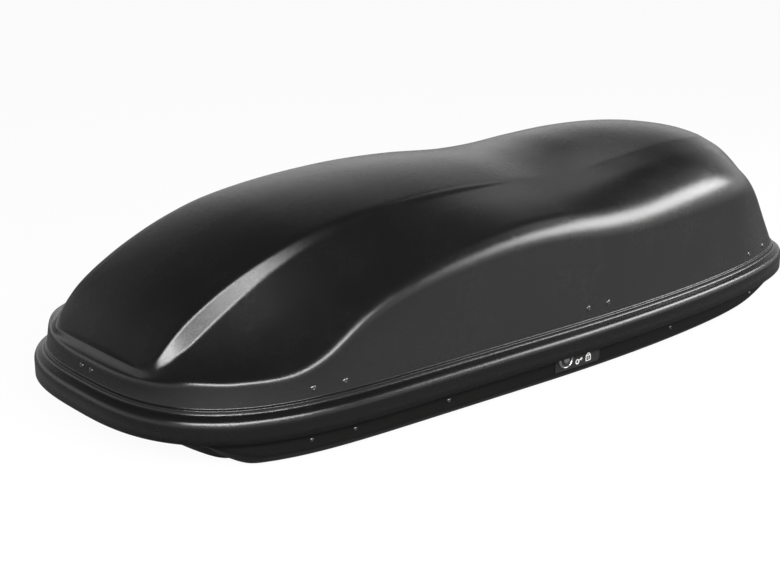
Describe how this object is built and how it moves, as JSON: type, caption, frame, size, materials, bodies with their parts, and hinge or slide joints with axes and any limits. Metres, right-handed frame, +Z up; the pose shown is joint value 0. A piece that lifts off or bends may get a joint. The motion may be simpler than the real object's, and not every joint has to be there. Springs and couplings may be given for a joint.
{
  "type": "roof box",
  "caption": "Long roof box for a car: a domed lid on side hinges over a shallow tray, with a key lock, a sliding locking bar and folding lid stays.",
  "frame": {"origin": "under the middle of the box, on the flat underside that rests on the roof bars", "axes": "X along the box, nose towards -X; Y across, lock side towards -Y and hinges towards +Y; Z up"},
  "size_m": [1.873, 0.7834, 0.4237],
  "materials": {
    "black_shell": "near-black ABS sheet with a fine pebble grain and a satin sheen",
    "black_nylon": "moulded black nylon, fine texture",
    "black_rivet": "black painted rivets, half gloss",
    "zinc_steel": "zinc plated steel, slightly brushed",
    "aluminium": "extruded aluminium with fine draw lines",
    "chrome": "bright turned metal"
  },
  "bodies": {
    "base": {"base_shell": "black_shell", "left_floor_rail": "aluminium", "right_floor_rail": "aluminium", "lock_plate": "black_nylon", "lock_ring": "chrome", "lock_sleeve": "zinc_steel", "lock_nut": "zinc_steel", "front_stay_foot": "zinc_steel", "rear_stay_foot": "zinc_steel", "hinge_1_base_leaf": "zinc_steel", "hinge_1_pin": "zinc_steel", "hinge_2_base_leaf": "zinc_steel", "hinge_2_pin": "zinc_steel", "hinge_3_base_leaf": "zinc_steel", "hinge_3_pin": "zinc_steel", "bar_guide_1": "black_nylon", "bar_guide_2": "black_nylon", "bar_guide_3": "black_nylon", "bar_guide_4": "black_nylon", "bar_guide_1_rivet_1": "black_rivet", "bar_guide_1_rivet_2": "black_rivet", "bar_guide_2_rivet_1": "black_rivet", "bar_guide_3_rivet_1": "black_rivet", "bar_guide_4_rivet_1": "black_rivet"},
    "lid": {"lid_shell": "black_shell", "hinge_1_lid_leaf": "zinc_steel", "hinge_2_lid_leaf": "zinc_steel", "hinge_3_lid_leaf": "zinc_steel", "front_striker": "zinc_steel", "middle_striker": "zinc_steel", "rear_striker": "zinc_steel", "front_striker_rivet_1": "black_rivet", "front_striker_rivet_2": "black_rivet", "middle_striker_rivet_1": "black_rivet", "middle_striker_rivet_2": "black_rivet", "rear_striker_rivet_1": "black_rivet", "rear_striker_rivet_2": "black_rivet", "front_stay_lid_bracket": "zinc_steel", "rear_stay_lid_bracket": "zinc_steel", "front_stay_rivet_1": "black_rivet", "front_stay_rivet_2": "black_rivet", "rear_stay_rivet_1": "black_rivet", "rear_stay_rivet_2": "black_rivet"},
    "locking_bar": {"locking_bar": "zinc_steel", "front_claw": "zinc_steel", "middle_claw": "zinc_steel", "rear_claw": "zinc_steel"},
    "lock_core": {"lock_core": "chrome", "lock_crank": "zinc_steel"},
    "front_stay_lower": {"front_stay_lower_arm": "zinc_steel", "front_stay_elbow_pin": "zinc_steel"},
    "front_stay_upper": {"front_stay_upper_arm": "zinc_steel"},
    "rear_stay_lower": {"rear_stay_lower_arm": "zinc_steel", "rear_stay_elbow_pin": "zinc_steel"},
    "rear_stay_upper": {"rear_stay_upper_arm": "zinc_steel"}
  },
  "joints": [
    {"name": "lid_hinge", "type": "hinge", "parent": "base", "child": "lid", "pos_m": [0, 0.3885, 0.0535], "axis": [-1, 0, 0], "range_deg": [0, 60]},
    {"name": "lock_turn", "type": "hinge", "parent": "base", "child": "lock_core", "pos_m": [-0.02997, -0.376, 0.054], "axis": [0, 1, 0], "range_deg": [0, 90]},
    {"name": "locking_bar_slide", "type": "slide", "parent": "base", "child": "locking_bar", "axis": [1, 0, 0], "range_m": [0, 0.01697]},
    {"name": "front_stay_lower_turn", "type": "hinge", "parent": "base", "child": "front_stay_lower", "pos_m": [-0.74813, 0.1485, 0.05], "axis": [-1, 0, 0], "range_deg": [0, 60]},
    {"name": "front_stay_elbow_turn", "type": "hinge", "parent": "front_stay_lower", "child": "front_stay_upper", "pos_m": [-0.75143, -0.24, 0.1315], "axis": [-1, 0, 0], "range_deg": [-60, 0]},
    {"name": "rear_stay_lower_turn", "type": "hinge", "parent": "base", "child": "rear_stay_lower", "pos_m": [0.68314, 0.1485, 0.05], "axis": [-1, 0, 0], "range_deg": [0, 60]},
    {"name": "rear_stay_elbow_turn", "type": "hinge", "parent": "rear_stay_lower", "child": "rear_stay_upper", "pos_m": [0.68644, -0.24, 0.1315], "axis": [-1, 0, 0], "range_deg": [-60, 0]}
  ],
  "couplings": [
    {"joint": "lock_turn", "follows": "locking_bar_slide", "rad_per_m": 92.56},
    {"joint": "front_stay_lower_turn", "follows": "lid_hinge", "ratio": 1},
    {"joint": "front_stay_elbow_turn", "follows": "lid_hinge", "ratio": -1},
    {"joint": "rear_stay_lower_turn", "follows": "lid_hinge", "ratio": 1},
    {"joint": "rear_stay_elbow_turn", "follows": "lid_hinge", "ratio": -1}
  ]
}
